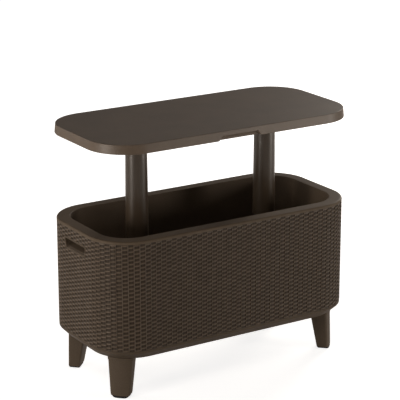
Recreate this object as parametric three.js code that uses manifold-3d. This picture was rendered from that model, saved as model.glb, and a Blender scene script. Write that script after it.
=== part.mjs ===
// Ice bucket coffee table: a patio table whose top rides up on two columns out of a tub
// for ice and drinks. Millimetres, +Z up, origin on the floor under the middle of the tub,
// +X along the long side, -Y the front. It is drawn with the tabletop raised.

import * as THREE from "three";
import { mergeVertices } from "three/addons/utils/BufferGeometryUtils.js";
import Module from "manifold-3d";

const wasm = await Module();
wasm.setup();

// Driving dimensions
const tubLength = 830;
const tubWidth = 396.5;
const tubCornerRadius = 121.4;
const rimTopZ = 466;
const tubBaseZ = 120;
const footInset = 20.5;
const baseLength = tubLength - 2 * footInset;
const baseWidth = tubWidth - 2 * footInset;
const baseCornerRadius = 115;
const rimWidth = 38;
const basinLength = tubLength - 2 * rimWidth;
const basinWidth = tubWidth - 2 * rimWidth;
const basinCornerRadius = 86;
const basinFloorZ = 150;
const tabletopLength = 822;
const tabletopWidth = 394.6;
const tabletopCornerRadius = 117.6;
const tabletopZ = 736;
const bandHeight = 26.6;
const columnReach = 216;
const columnTopRadius = 30.35;
const columnFootRadius = 33;
const columnFootZ = 408;
const columnWall = 3.5;
const postRadius = 21;
const wall = 3;
const seatGap = 0.3;
const runningGap = 0.3;

// How finely round forms are drawn, and how far a cut passes the face it opens
const cornerSteps = 7;
const turnedSides = 24;
const screwSides = 8;
const quarterTurn = Math.PI / 2;
const overrun = 2;

// Solids from closed geometries

function outwardGeometry(source) {
  const bare = source.clone();
  bare.deleteAttribute("normal");
  bare.deleteAttribute("uv");
  const merged = mergeVertices(bare);
  const corners = merged.index.array;
  const at = merged.attributes.position;
  const kept = [];
  let volume = 0;
  const [a, b, c] = [new THREE.Vector3(), new THREE.Vector3(), new THREE.Vector3()];
  for (let i = 0; i < corners.length; i += 3) {
    const [p, q, r] = [corners[i], corners[i + 1], corners[i + 2]];
    if (p === q || q === r || r === p) continue;
    kept.push(p, q, r);
    a.fromBufferAttribute(at, p);
    b.fromBufferAttribute(at, q);
    c.fromBufferAttribute(at, r);
    volume += a.dot(b.cross(c));
  }
  if (volume < 0) kept.reverse();
  merged.setIndex(kept);
  return merged;
}

function solidOf(geometry) {
  const closed = outwardGeometry(geometry);
  return new wasm.Manifold(new wasm.Mesh({
    numProp: 3,
    vertProperties: new Float32Array(closed.attributes.position.array),
    triVerts: new Uint32Array(closed.index.array),
  }));
}

function geometryOf(solid) {
  const mesh = solid.getMesh();
  const geometry = new THREE.BufferGeometry();
  geometry.setAttribute("position", new THREE.BufferAttribute(mesh.vertProperties, 3));
  geometry.setIndex(new THREE.BufferAttribute(mesh.triVerts, 1));
  return geometry;
}

function cut(geometry, ...tools) {
  return geometryOf(tools.reduce((solid, tool) => solid.subtract(solidOf(tool)), solidOf(geometry)));
}

function join(geometry, ...others) {
  return geometryOf(others.reduce((solid, other) => solid.add(solidOf(other)), solidOf(geometry)));
}

function common(geometry, other) {
  return geometryOf(solidOf(geometry).intersect(solidOf(other)));
}

// A closed skin over rings of points, each ring with as many points as the next. Rings run
// anticlockwise seen from above, and the first and last are closed by a fan.
function loft(rings) {
  const count = rings[0].length;
  const places = rings.flat();
  const indices = [];
  for (let level = 0; level + 1 < rings.length; level += 1) {
    for (let i = 0; i < count; i += 1) {
      const here = level * count + i;
      const next = level * count + (i + 1) % count;
      indices.push(here, next, next + count, here, next + count, here + count);
    }
  }
  const middleOf = (ring) => ring
    .reduce((sum, point) => sum.add(point), new THREE.Vector3())
    .divideScalar(count);
  const first = places.push(middleOf(rings[0])) - 1;
  const last = places.push(middleOf(rings[rings.length - 1])) - 1;
  const lastRing = (rings.length - 1) * count;
  for (let i = 0; i < count; i += 1) {
    const next = (i + 1) % count;
    indices.push(first, next, i, last, lastRing + i, lastRing + next);
  }
  const geometry = new THREE.BufferGeometry().setFromPoints(places);
  geometry.setIndex(indices);
  return geometry;
}

// Rounded rectangles, seen from above

const rounded = (length, width, radius) => ({ length, width, radius });
const grown = (shape, by) => rounded(shape.length + 2 * by, shape.width + 2 * by, shape.radius + by);

function ring(shape, z) {
  const points = [];
  for (let corner = 0; corner < 4; corner += 1) {
    const sideX = corner === 0 || corner === 3 ? 1 : -1;
    const sideY = corner < 2 ? 1 : -1;
    for (let step = 0; step <= cornerSteps; step += 1) {
      const angle = (corner + step / cornerSteps) * quarterTurn;
      const x = sideX * (shape.length / 2 - shape.radius) + shape.radius * Math.cos(angle);
      const y = sideY * (shape.width / 2 - shape.radius) + shape.radius * Math.sin(angle);
      points.push(new THREE.Vector3(x, y, z));
    }
  }
  return points;
}

// Turned pieces and plain cutters

// A profile of [radius, height] turned about the Z axis
function turned(profile, sides = turnedSides) {
  const points = profile.map(([radius, height]) => new THREE.Vector2(radius, height));
  return new THREE.LatheGeometry(points, sides).rotateX(quarterTurn);
}

function tube(innerRadius, outerRadius, lowZ, highZ, sides = turnedSides) {
  return turned([
    [innerRadius, lowZ],
    [outerRadius, lowZ],
    [outerRadius, highZ],
    [innerRadius, highZ],
    [innerRadius, lowZ],
  ], sides);
}

function rod(radius, lowZ, highZ, x = 0, y = 0, sides = screwSides) {
  return new THREE.CylinderGeometry(radius, radius, highZ - lowZ, sides)
    .rotateX(quarterTurn)
    .translate(x, y, (lowZ + highZ) / 2);
}

function rodAlongY(radius, lowY, highY, z, sides = turnedSides) {
  return new THREE.CylinderGeometry(radius, radius, highY - lowY, sides)
    .translate(0, (lowY + highY) / 2, z);
}

function block(lowX, highX, lowY, highY, lowZ, highZ) {
  return new THREE.BoxGeometry(highX - lowX, highY - lowY, highZ - lowZ)
    .translate((lowX + highX) / 2, (lowY + highY) / 2, (lowZ + highZ) / 2);
}

// An outline of [x, z] points carried along Y, and one of [y, z] points carried along X
function alongY(outline, lowY, highY) {
  const shape = new THREE.Shape(outline.map(([x, z]) => new THREE.Vector2(x, z)));
  return new THREE.ExtrudeGeometry(shape, { depth: highY - lowY, bevelEnabled: false })
    .rotateX(quarterTurn)
    .translate(0, highY, 0);
}

function alongX(outline, lowX, highX) {
  const shape = new THREE.Shape(outline.map(([y, z]) => new THREE.Vector2(y, z)));
  return new THREE.ExtrudeGeometry(shape, { depth: highX - lowX, bevelEnabled: false })
    .rotateX(quarterTurn)
    .rotateZ(quarterTurn)
    .translate(lowX, 0, 0);
}

// A pan head screw standing on its tip, its head on top
function panScrew(shankRadius, headRadius, headHeight, length) {
  return turned([
    [0, 0],
    [shankRadius, 0],
    [shankRadius, length],
    [headRadius, length],
    [headRadius, length + headHeight / 2],
    [headRadius - headHeight / 2, length + headHeight],
    [0, length + headHeight],
  ], screwSides);
}

// Finishes
const finish = (color, roughness, metalness) => (
  new THREE.MeshStandardMaterial({ color, roughness, metalness })
);
const resin = finish(0x4b4239, 0.55, 0);
const innerResin = finish(0x2b2622, 0.6, 0);
const blackRubber = finish(0x161514, 0.85, 0);
const steel = finish(0x9a9da0, 0.35, 1);

const table = new THREE.Group();

function add(name, geometry, material, parent = table) {
  const mesh = new THREE.Mesh(outwardGeometry(geometry), material);
  mesh.name = name;
  parent.add(mesh);
  return mesh;
}

const sides = [
  { name: "left", x: -columnReach },
  { name: "right", x: columnReach },
];

// Places shared by the tub, the posts and the legs
const linerUndersideZ = basinFloorZ - wall;
const shellFloorZ = tubBaseZ + wall;
const postFlangeRadius = 46;
const postScrewCircle = 39.5;
const postScrewCount = 3;
const postScrewShank = 1.9;
const postScrewHole = postScrewShank + seatGap;
const postScrewLength = 30;
const postScrewPlaces = [...Array(postScrewCount).keys()].map((i) => {
  const angle = (1 + 4 * i / postScrewCount) * quarterTurn;
  return [postScrewCircle * Math.cos(angle), postScrewCircle * Math.sin(angle)];
});

const legTopZ = tubBaseZ - seatGap;
const legTopWidth = 71;
const legTopDepth = 54;
const legFloorWidth = 56.1;
const legFloorDepth = 34.6;
const legTopInset = 1.5;
const legSplay = 3.5;
const legCornerReachX = baseLength / 2 - baseCornerRadius;
const legCornerReachY = baseWidth / 2 - baseCornerRadius;
const legScrewReach = baseCornerRadius - legTopInset - legTopDepth / 2;
const legScrewShank = 3;
const legScrewHole = legScrewShank + seatGap;
const corners = [
  { name: "back_right", x: 1, y: 1, turn: 0.5 },
  { name: "back_left", x: -1, y: 1, turn: 1.5 },
  { name: "front_left", x: -1, y: -1, turn: 2.5 },
  { name: "front_right", x: 1, y: -1, turn: 3.5 },
].map((corner) => ({
  ...corner,
  x: corner.x * legCornerReachX,
  y: corner.y * legCornerReachY,
  angle: corner.turn * quarterTurn,
}));

const drainRadius = 12;
const drainHole = drainRadius + seatGap;

// Tub shell: outer wall, ridge, chamfered foot and floor, with a hand pocket in each end
const rimShape = rounded(tubLength, tubWidth, tubCornerRadius);
const baseShape = rounded(baseLength, baseWidth, baseCornerRadius);
const weaveDepth = 1.5;
const shellShape = grown(rimShape, -weaveDepth);
const shellInnerShape = grown(shellShape, -wall);
const ridgeInset = 0.7;
const ridgeShape = grown(rimShape, -ridgeInset);
const footTopZ = 142;
const ridgeTopZ = 147;
const ridgeStep = 0.4;
const lipHeight = 8;
const shellTopZ = rimTopZ - lipHeight - seatGap;

const slotTopZ = 425;
const slotBottomZ = 400;
const slotTopWidth = 117;
const slotBottomWidth = 102;
const slotDepth = 24.5;
const slotFloorRise = 16;
const slotCeilingZ = 437;
const shellEndX = tubLength / 2 - weaveDepth;

function pocketAcross(by) {
  const slope = (slotTopWidth - slotBottomWidth) / 2 / (slotTopZ - slotBottomZ);
  const lowZ = slotBottomZ - by - overrun;
  const highZ = slotCeilingZ + by;
  const halfAt = (z) => slotBottomWidth / 2 + by + slope * (z - slotBottomZ);
  return [
    [-halfAt(lowZ), lowZ],
    [halfAt(lowZ), lowZ],
    [halfAt(highZ), highZ],
    [-halfAt(highZ), highZ],
  ];
}

function handPocket() {
  const innerX = shellEndX - slotDepth;
  const bodyOutline = [
    [shellEndX - wall / 2, slotBottomZ - wall],
    [shellEndX - wall / 2, slotCeilingZ + wall],
    [innerX - wall, slotCeilingZ + wall],
    [innerX - wall, slotBottomZ + slotFloorRise - wall],
  ];
  const hollowOutline = [
    [shellEndX + overrun, slotBottomZ],
    [shellEndX + overrun, slotTopZ],
    [shellEndX - wall, slotTopZ],
    [shellEndX - wall, slotCeilingZ],
    [innerX, slotCeilingZ],
    [innerX, slotBottomZ + slotFloorRise],
    [shellEndX, slotBottomZ],
  ];
  const reach = slotTopWidth;
  const body = common(
    alongY(bodyOutline, -reach, reach),
    alongX(pocketAcross(wall), innerX - slotDepth, shellEndX),
  );
  const hollow = common(
    alongY(hollowOutline, -reach, reach),
    alongX(pocketAcross(0), innerX - slotDepth, shellEndX + slotDepth),
  );
  return { body, hollow };
}

const postBossRadius = 7;
const postBossHoleDepth = 20;
const legBossRadius = 9;
const legBossHeight = 20;
const drainBossWall = 4;

function legScrewPlace(corner) {
  return [
    corner.x + legScrewReach * Math.cos(corner.angle),
    corner.y + legScrewReach * Math.sin(corner.angle),
  ];
}

function makeTubShell() {
  let shell = loft([
    ring(baseShape, tubBaseZ),
    ring(ridgeShape, footTopZ),
    ring(ridgeShape, ridgeTopZ),
    ring(shellShape, ridgeTopZ + ridgeStep),
    ring(shellShape, shellTopZ),
    ring(shellInnerShape, shellTopZ),
    ring(shellInnerShape, footTopZ + wall / 2),
    ring(grown(baseShape, -wall / 2), shellFloorZ),
  ]);
  const pocket = handPocket();
  const turnedBody = pocket.body.clone().rotateZ(Math.PI);
  const turnedHollow = pocket.hollow.clone().rotateZ(Math.PI);
  shell = join(shell, pocket.body, turnedBody);
  const bossTopZ = linerUndersideZ - seatGap;
  const bosses = [rod(drainRadius + drainBossWall, shellFloorZ - wall / 2, bossTopZ, 0, 0, turnedSides)];
  const holes = [rod(drainHole, tubBaseZ - overrun, bossTopZ + overrun, 0, 0, turnedSides)];
  for (const side of sides) {
    for (const [x, y] of postScrewPlaces) {
      bosses.push(rod(postBossRadius, shellFloorZ - wall / 2, bossTopZ, side.x + x, y));
      holes.push(rod(postScrewHole, bossTopZ - postBossHoleDepth, bossTopZ + overrun, side.x + x, y));
    }
  }
  for (const corner of corners) {
    const [x, y] = legScrewPlace(corner);
    bosses.push(rod(legBossRadius, shellFloorZ - wall / 2, shellFloorZ + legBossHeight, x, y));
    holes.push(rod(legScrewHole, tubBaseZ - overrun, shellFloorZ + legBossHeight + overrun, x, y));
  }
  return cut(join(shell, ...bosses), pocket.hollow, turnedHollow, ...holes);
}

add("tub_shell", makeTubShell(), resin);

// Tub liner: the ice basin and the rim in one moulding, whose lip covers the shell's edge. The
// moulding is drawn in four plain lengths a hair apart: the rim, the two ends and the middle.
const rimPlate = 4;
const rimEdgeRadius = 6.5;
const rimEdgeSteps = 3;
const rimInnerEdge = 2.5;
const tongueDepth = 12;
const basinDraft = 8;
const basinChamfer = 14;
const linerRimHeight = 26;
const linerSeamMargin = 2;

function makeTubLiner() {
  const basinTop = rounded(basinLength, basinWidth, basinCornerRadius);
  const basinLow = grown(basinTop, -basinDraft);
  const tongue = grown(shellInnerShape, -seatGap);
  const lipZ = rimTopZ - lipHeight;
  const rings = [
    ring(grown(basinLow, -basinChamfer), linerUndersideZ),
    ring(grown(basinLow, wall), linerUndersideZ + basinChamfer + wall),
    ring(grown(basinTop, wall), rimTopZ - rimPlate),
    ring(grown(tongue, -wall), rimTopZ - rimPlate),
    ring(grown(tongue, -wall), lipZ - tongueDepth),
    ring(tongue, lipZ - tongueDepth),
    ring(tongue, lipZ),
    ring(rimShape, lipZ),
  ];
  for (let step = 0; step <= rimEdgeSteps; step += 1) {
    const angle = step / rimEdgeSteps * quarterTurn;
    const inset = rimEdgeRadius * (1 - Math.cos(angle));
    rings.push(ring(grown(rimShape, -inset), rimTopZ - rimEdgeRadius * (1 - Math.sin(angle))));
  }
  rings.push(ring(grown(basinTop, rimInnerEdge), rimTopZ), ring(basinTop, rimTopZ - rimInnerEdge));
  rings.push(ring(basinLow, basinFloorZ + basinChamfer));
  rings.push(ring(grown(basinLow, -basinChamfer), basinFloorZ));
  const holes = [rod(drainHole, linerUndersideZ - overrun, basinFloorZ + overrun, 0, 0, turnedSides)];
  for (const side of sides) {
    for (const [x, y] of postScrewPlaces) {
      holes.push(rod(postScrewHole, linerUndersideZ - overrun, basinFloorZ + overrun, side.x + x, y));
    }
  }
  return cut(loft(rings), ...holes);
}

const tubLiner = makeTubLiner();

function linerLength(lowX, highX, lowZ, highZ) {
  return common(tubLiner, block(lowX, highX, -tubWidth, tubWidth, lowZ, highZ));
}

const linerRimZ = rimTopZ - linerRimHeight;
const linerSeamX = columnReach + postFlangeRadius + linerSeamMargin;
add("tub_liner_rim", linerLength(-tubLength, tubLength, linerRimZ, rimTopZ + overrun), resin);
add("tub_liner_left", linerLength(-tubLength, -linerSeamX - seatGap, 0, linerRimZ - seatGap), resin);
add("tub_liner_middle", linerLength(-linerSeamX, linerSeamX, 0, linerRimZ - seatGap), resin);
add("tub_liner_right", linerLength(linerSeamX + seatGap, tubLength, 0, linerRimZ - seatGap), resin);

// Legs: hollow tapered feet under the base's corners, a collar at the top and a pad below
const legWall = 3;
const legPlate = 6;
const collarHeight = 9;
const collarProud = 1.5;
const legEdgeRadius = 8;
const legInnerRadius = 5;
const legEdgeSteps = 3;
const legFaceSteps = 4;
const toeRadius = 12;
const padHeight = 7;
const padPlug = 9;

function legSizeAt(z) {
  const share = z / legTopZ;
  const toe = z < toeRadius ? toeRadius - Math.sqrt(toeRadius ** 2 - (toeRadius - z) ** 2) : 0;
  return {
    width: legFloorWidth + (legTopWidth - legFloorWidth) * share - 2 * toe,
    depth: legFloorDepth + (legTopDepth - legFloorDepth) * share,
    outer: baseCornerRadius - legTopInset + legSplay * (1 - share),
  };
}

// A leg's section: straight sides, a flat back, and a face that follows the tub's corner
function legRing({ width, depth, outer }, z, by = 0) {
  const half = width / 2 + by;
  const face = outer + by;
  const back = outer - depth - by;
  const edge = Math.min(legEdgeRadius + by, half / 2);
  const heel = legInnerRadius + by;
  const faceHalf = half - edge;
  const faceAt = (side) => Math.sqrt(face ** 2 - side ** 2);
  const points = [];
  const arc = (centreX, centreY, radius, from) => {
    for (let step = 0; step <= legEdgeSteps; step += 1) {
      const angle = (from + step / legEdgeSteps) * quarterTurn;
      const [x, y] = [centreX + radius * Math.cos(angle), centreY + radius * Math.sin(angle)];
      points.push(new THREE.Vector3(x, y, z));
    }
  };
  arc(back + heel, -half + heel, heel, 2);
  arc(faceAt(faceHalf) - edge, -faceHalf, edge, 3);
  for (let step = 1; step < legFaceSteps; step += 1) {
    const side = faceHalf * (2 * step / legFaceSteps - 1);
    points.push(new THREE.Vector3(faceAt(side), side, z));
  }
  arc(faceAt(faceHalf) - edge, faceHalf, edge, 0);
  arc(back + heel, half - heel, heel, 1);
  return points;
}

function makeLeg() {
  const collarZ = legTopZ - collarHeight;
  const outer = loft([
    legRing(legSizeAt(padHeight), padHeight),
    legRing(legSizeAt(toeRadius), toeRadius),
    legRing(legSizeAt(collarZ), collarZ),
    legRing(legSizeAt(collarZ), collarZ, collarProud),
    legRing(legSizeAt(legTopZ), legTopZ, collarProud),
  ]);
  const plateZ = legTopZ - legPlate;
  const hollow = loft([
    legRing(legSizeAt(padHeight), padHeight - overrun, -legWall),
    legRing(legSizeAt(toeRadius), toeRadius, -legWall),
    legRing(legSizeAt(plateZ), plateZ, -legWall),
  ]);
  return cut(outer, hollow, rod(legScrewHole, plateZ - overrun, legTopZ + overrun, legScrewReach));
}

function makeFootPad() {
  const padTopZ = padHeight - seatGap;
  const plugZ = padHeight + padPlug;
  const plugGap = legWall + seatGap;
  return loft([
    legRing(legSizeAt(seatGap), 0),
    legRing(legSizeAt(padTopZ / 2), padTopZ / 2),
    legRing(legSizeAt(padTopZ), padTopZ),
    legRing(legSizeAt(padTopZ), padTopZ, -plugGap),
    legRing(legSizeAt(plugZ), plugZ, -plugGap - seatGap),
  ]);
}

const legScrewHead = 7;
const legScrewHeadHeight = 3;
const legScrewLength = 26;
const leg = makeLeg();
const footPad = makeFootPad();
const legScrew = panScrew(legScrewShank, legScrewHead, legScrewHeadHeight, legScrewLength)
  .rotateX(Math.PI)
  .translate(0, 0, legTopZ - legPlate - seatGap + legScrewLength);

for (const corner of corners) {
  const foot = new THREE.Group();
  foot.position.set(corner.x, corner.y, 0);
  foot.rotation.z = corner.angle;
  table.add(foot);
  add(`leg_${corner.name}`, leg, resin, foot);
  add(`foot_pad_${corner.name}`, footPad, blackRubber, foot);
  add(`leg_screw_${corner.name}`, legScrew, steel, foot).position.x = legScrewReach;
}

// Guide posts on the basin's floor: gasket, tube with its foot, screws, and the stop cap
const postWall = 3;
const gasketThickness = 2;
const postFlange = 5;
const postFillet = 4;
const bushLip = 2.7;
const bushHeight = 65;
const bushFootZ = columnFootZ - seatGap - bushLip;
const bushTopZ = bushFootZ + bushHeight;
const postBore = postRadius - postWall;
const gasketZ = basinFloorZ + seatGap;
const postFootZ = gasketZ + gasketThickness + seatGap;
const postFlangeZ = postFootZ + postFlange;
const postScrewHead = 4;
const postScrewHeadHeight = 2.8;
const capFlange = 9.7;
const capRadius = 26.3;
const capPlug = 14;
const capChamfer = 3;

// Latch in each post: the button that the raised column stands on
const latchRadius = 6;
const latchZ = bushFootZ - seatGap - latchRadius;
const latchProud = 4.5;
const latchCollarRadius = 8;
const latchCollar = 3;
const latchEdge = 1.2;
const latchHole = latchRadius + runningGap;
const housingBore = latchCollarRadius + runningGap;
const housingRadius = postBore - seatGap;
const housingHeight = 29;
const housingBoreEndY = 6;
const collarFrontY = -Math.sqrt(postBore ** 2 - latchCollarRadius ** 2) + seatGap;
const latchTipY = -postRadius - latchProud;
const pinRadius = 2;
const pinHole = pinRadius + seatGap;
const pinLength = 11;

function makePost() {
  const post = turned([
    [postBore, postFootZ],
    [postFlangeRadius, postFootZ],
    [postFlangeRadius, postFlangeZ],
    [postRadius + postFillet, postFlangeZ],
    [postRadius, postFlangeZ + postFillet],
    [postRadius, bushTopZ],
    [postBore, bushTopZ],
    [postBore, postFootZ],
  ]);
  const holes = postScrewPlaces.map(([x, y]) => (
    rod(postScrewHole, postFootZ - overrun, postFlangeZ + overrun, x, y)
  ));
  return cut(
    post,
    ...holes,
    rodAlongY(latchHole, -postRadius - overrun, 0, latchZ, turnedSides / 2),
    rodAlongY(pinHole, 0, postRadius + overrun, latchZ, screwSides),
  );
}

function makeGasket() {
  const ringShape = tube(postBore, postFlangeRadius, gasketZ, gasketZ + gasketThickness);
  const holes = postScrewPlaces.map(([x, y]) => (
    rod(postScrewHole, gasketZ - overrun, gasketZ + gasketThickness + overrun, x, y)
  ));
  return cut(ringShape, ...holes);
}

function makePostCap() {
  const flangeZ = bushTopZ + seatGap;
  return turned([
    [0, bushTopZ - capPlug],
    [postBore - seatGap, bushTopZ - capPlug],
    [postBore - seatGap, flangeZ],
    [capRadius, flangeZ],
    [capRadius, flangeZ + capFlange - capChamfer],
    [capRadius - capChamfer, flangeZ + capFlange],
    [0, flangeZ + capFlange],
  ]);
}

function makeHousing() {
  const lowZ = latchZ - housingHeight / 2;
  return cut(
    rod(housingRadius, lowZ, lowZ + housingHeight, 0, 0, turnedSides),
    rodAlongY(housingBore, -postRadius, housingBoreEndY, latchZ, turnedSides / 2),
    rodAlongY(pinHole, postRadius - pinLength - 2 * seatGap, postRadius, latchZ, screwSides),
  );
}

function makeLatchButton() {
  const collarAt = collarFrontY - latchTipY;
  const profile = [
    [0, 0],
    [latchRadius - latchEdge, 0],
    [latchRadius, latchEdge],
    [latchRadius, collarAt],
    [latchCollarRadius, collarAt],
    [latchCollarRadius, collarAt + latchCollar],
    [0, collarAt + latchCollar],
  ].map(([radius, along]) => new THREE.Vector2(radius, along));
  return new THREE.LatheGeometry(profile, turnedSides / 2).translate(0, latchTipY, latchZ);
}

// A compression spring along Y: a round wire carried round a helix
const springRadius = 5;
const wireRadius = 0.8;
const springTurns = 5;
const springStepsPerTurn = 8;
const wireSides = 4;

function makeLatchSpring() {
  const startY = collarFrontY + latchCollar + seatGap + wireRadius;
  const endY = housingBoreEndY - seatGap - wireRadius;
  const steps = springTurns * springStepsPerTurn;
  const rings = [];
  for (let step = 0; step <= steps; step += 1) {
    const angle = step / springStepsPerTurn * 4 * quarterTurn;
    const along = startY + (endY - startY) * step / steps;
    const wire = [];
    for (let side = 0; side < wireSides; side += 1) {
      const round = side / wireSides * 4 * quarterTurn;
      const radius = springRadius + wireRadius * Math.cos(round);
      wire.push(new THREE.Vector3(
        radius * Math.cos(angle),
        along + wireRadius * Math.sin(round),
        latchZ + radius * Math.sin(angle),
      ));
    }
    rings.push(wire);
  }
  return loft(rings);
}

const postScrew = panScrew(postScrewShank, postScrewHead, postScrewHeadHeight, postScrewLength);
const post = makePost();
const gasket = makeGasket();
const postCap = makePostCap();
const housing = makeHousing();
const latchButton = makeLatchButton();
const latchSpring = makeLatchSpring();
const pinEndY = postRadius - seatGap;
const housingPin = rodAlongY(pinRadius, pinEndY - pinLength, pinEndY, latchZ, screwSides);

for (const side of sides) {
  const place = new THREE.Group();
  place.position.x = side.x;
  table.add(place);
  add(`post_gasket_${side.name}`, gasket, blackRubber, place);
  add(`guide_post_${side.name}`, post, innerResin, place);
  postScrewPlaces.forEach(([x, y], i) => {
    const screw = add(`post_screw_${side.name}_${i + 1}`, postScrew, steel, place);
    screw.position.set(x, y, postFlangeZ + seatGap - postScrewLength);
  });
  add(`post_cap_${side.name}`, postCap, innerResin, place);
  add(`latch_housing_${side.name}`, housing, innerResin, place);
  add(`housing_pin_${side.name}`, housingPin, steel, place);
  add(`latch_button_${side.name}`, latchButton, blackRubber, place);
  add(`latch_spring_${side.name}`, latchSpring, steel, place);
}

// Tabletop: a lower panel with a seat for each column's flange, and the deck above it
const deckPlate = 4;
const skirtWall = 3.2;
const bandFlare = 2.5;
const bandEdge = 1.5;
const deckEdge = 1.7;
const panelThickness = 3;
const panelRise = 3;
const seatHeight = 5;
const seatRadius = 52;
const columnFlangeRadius = 50;
const columnFlange = 4;
const bandBottomZ = tabletopZ - bandHeight;
const panelZ = bandBottomZ + panelRise;
const panelTopZ = panelZ + panelThickness;
const seatTopZ = panelTopZ + seatHeight;
const columnFlangeZ = seatTopZ + seatGap;
const deckUndersideZ = tabletopZ - deckPlate;
const topShape = rounded(tabletopLength, tabletopWidth, tabletopCornerRadius);
const bandShape = grown(topShape, bandFlare);
const skirtInside = grown(topShape, -skirtWall);

const pullTopWidth = 118;
const pullBottomWidth = 140;
const pullHeight = 14;
const pullDepth = 12;
const pullSteps = 6;
const pullWall = 3;

const columnScrewCircle = 42;
const columnScrewCount = 3;
const columnScrewShank = 1.9;
const columnScrewHole = columnScrewShank + seatGap;
const columnScrewHead = 4;
const columnScrewHeadHeight = 2.5;
const columnScrewPlaces = [...Array(columnScrewCount).keys()].map((i) => {
  const angle = (1 + 4 * i / columnScrewCount) * quarterTurn;
  return [columnScrewCircle * Math.cos(angle), columnScrewCircle * Math.sin(angle)];
});

const panelScrewShank = 1.8;
const panelScrewHole = panelScrewShank + seatGap;
const panelScrewHead = 4;
const panelScrewHeadHeight = 2.2;
const panelScrewLength = 14;
const panelBossRadius = 6;
const panelScrewEndInset = 71;
const panelScrewSideInset = 97.3;
const panelScrewMiddleInset = 47.3;
const panelScrewReachX = tabletopLength / 2 - panelScrewEndInset;
const panelScrewReachY = tabletopWidth / 2 - panelScrewSideInset;
const panelScrewMiddleY = tabletopWidth / 2 - panelScrewMiddleInset;
const panelScrewPlaces = [
  ["left_front", -panelScrewReachX, -panelScrewReachY],
  ["left_back", -panelScrewReachX, panelScrewReachY],
  ["middle_front", 0, -panelScrewMiddleY],
  ["middle_back", 0, panelScrewMiddleY],
  ["right_front", panelScrewReachX, -panelScrewReachY],
  ["right_back", panelScrewReachX, panelScrewReachY],
];

const pullBlockHalf = pullBottomWidth / 2 + 2 * pullWall;
const pullBlockInnerY = bandShape.width / 2 - pullDepth - pullWall;
const pullBlockTopZ = bandBottomZ + pullHeight + pullWall;

// The finger pull's hollow: a quarter of an ellipse in section, with sloping ends
function fingerPull() {
  const faceY = bandShape.width / 2;
  const section = [[faceY + overrun, bandBottomZ - overrun]];
  section.push([faceY - pullDepth, bandBottomZ - overrun]);
  for (let step = 0; step <= pullSteps; step += 1) {
    const angle = step / pullSteps * quarterTurn;
    section.push([faceY - pullDepth * Math.cos(angle), bandBottomZ + pullHeight * Math.sin(angle)]);
  }
  section.push([faceY + overrun, bandBottomZ + pullHeight]);
  const slope = (pullBottomWidth - pullTopWidth) / 2 / pullHeight;
  const lowHalf = pullBottomWidth / 2 + slope * overrun;
  const highHalf = pullTopWidth / 2 - slope * overrun;
  const front = [
    [-lowHalf, bandBottomZ - overrun],
    [lowHalf, bandBottomZ - overrun],
    [highHalf, bandBottomZ + pullHeight + overrun],
    [-highHalf, bandBottomZ + pullHeight + overrun],
  ];
  return common(alongX(section, -pullBottomWidth, pullBottomWidth), alongY(front, 0, bandShape.width));
}

const ribHeight = 10;
const ribWidth = 3;
const ribReachY = 75;
const crossRibReaches = [0, 120, 310];

function makeDeck() {
  const deck = loft([
    ring(skirtInside, deckUndersideZ),
    ring(skirtInside, bandBottomZ),
    ring(grown(bandShape, -bandEdge), bandBottomZ),
    ring(bandShape, bandBottomZ + bandEdge),
    ring(topShape, tabletopZ - deckEdge),
    ring(grown(topShape, -deckEdge), tabletopZ),
  ]);
  const ribTopZ = deckUndersideZ + deckPlate / 2;
  const ribZ = deckUndersideZ - ribHeight;
  const ribEndX = skirtInside.length / 2 - skirtInside.radius / 2;
  const ribEndY = skirtInside.width / 2 + skirtWall / 2;
  const parts = [];
  for (const sign of [-1, 1]) {
    const y = sign * ribReachY;
    parts.push(block(-ribEndX, ribEndX, y - ribWidth / 2, y + ribWidth / 2, ribZ, ribTopZ));
    const blockY = [sign * pullBlockInnerY, sign * ribEndY].sort((a, b) => a - b);
    parts.push(block(-pullBlockHalf, pullBlockHalf, ...blockY, bandBottomZ, pullBlockTopZ));
  }
  for (const reach of crossRibReaches) {
    for (const x of new Set([-reach, reach])) {
      const endY = reach > crossRibReaches[1] ? panelScrewMiddleY : ribEndY;
      parts.push(block(x - ribWidth / 2, x + ribWidth / 2, -endY, endY, ribZ, ribTopZ));
    }
  }
  const bossZ = panelTopZ + seatGap;
  const holes = [];
  for (const [, x, y] of panelScrewPlaces) {
    parts.push(rod(panelBossRadius, bossZ, ribTopZ, x, y, turnedSides / 3));
    holes.push(rod(panelScrewHole, bossZ - overrun, deckUndersideZ - overrun, x, y));
  }
  return cut(join(deck, ...parts), fingerPull(), fingerPull().rotateZ(Math.PI), ...holes);
}

function makePanel() {
  const plate = loft([
    ring(grown(skirtInside, -seatGap), panelZ),
    ring(grown(skirtInside, -seatGap), panelTopZ),
  ]);
  const seats = sides.map((side) => (
    rod(seatRadius, panelTopZ - panelThickness / 2, seatTopZ, side.x, 0, turnedSides)
  ));
  const holes = sides.map((side) => (
    rod(columnTopRadius + 2 * seatGap, panelZ - overrun, seatTopZ + overrun, side.x, 0, turnedSides)
  ));
  for (const side of sides) {
    for (const [x, y] of columnScrewPlaces) {
      holes.push(rod(columnScrewHole, panelZ - overrun, seatTopZ + overrun, side.x + x, y));
    }
  }
  for (const [, x, y] of panelScrewPlaces) {
    holes.push(rod(panelScrewHole, panelZ - overrun, panelTopZ + overrun, x, y));
  }
  for (const sign of [-1, 1]) {
    const notchY = [sign * (pullBlockInnerY - seatGap), sign * tabletopWidth].sort((a, b) => a - b);
    const notchX = pullBlockHalf + seatGap;
    holes.push(block(-notchX, notchX, ...notchY, panelZ - overrun, panelTopZ + overrun));
  }
  return cut(join(plate, ...seats), ...holes);
}

add("tabletop_deck", makeDeck(), resin);
add("tabletop_panel", makePanel(), innerResin);

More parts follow.
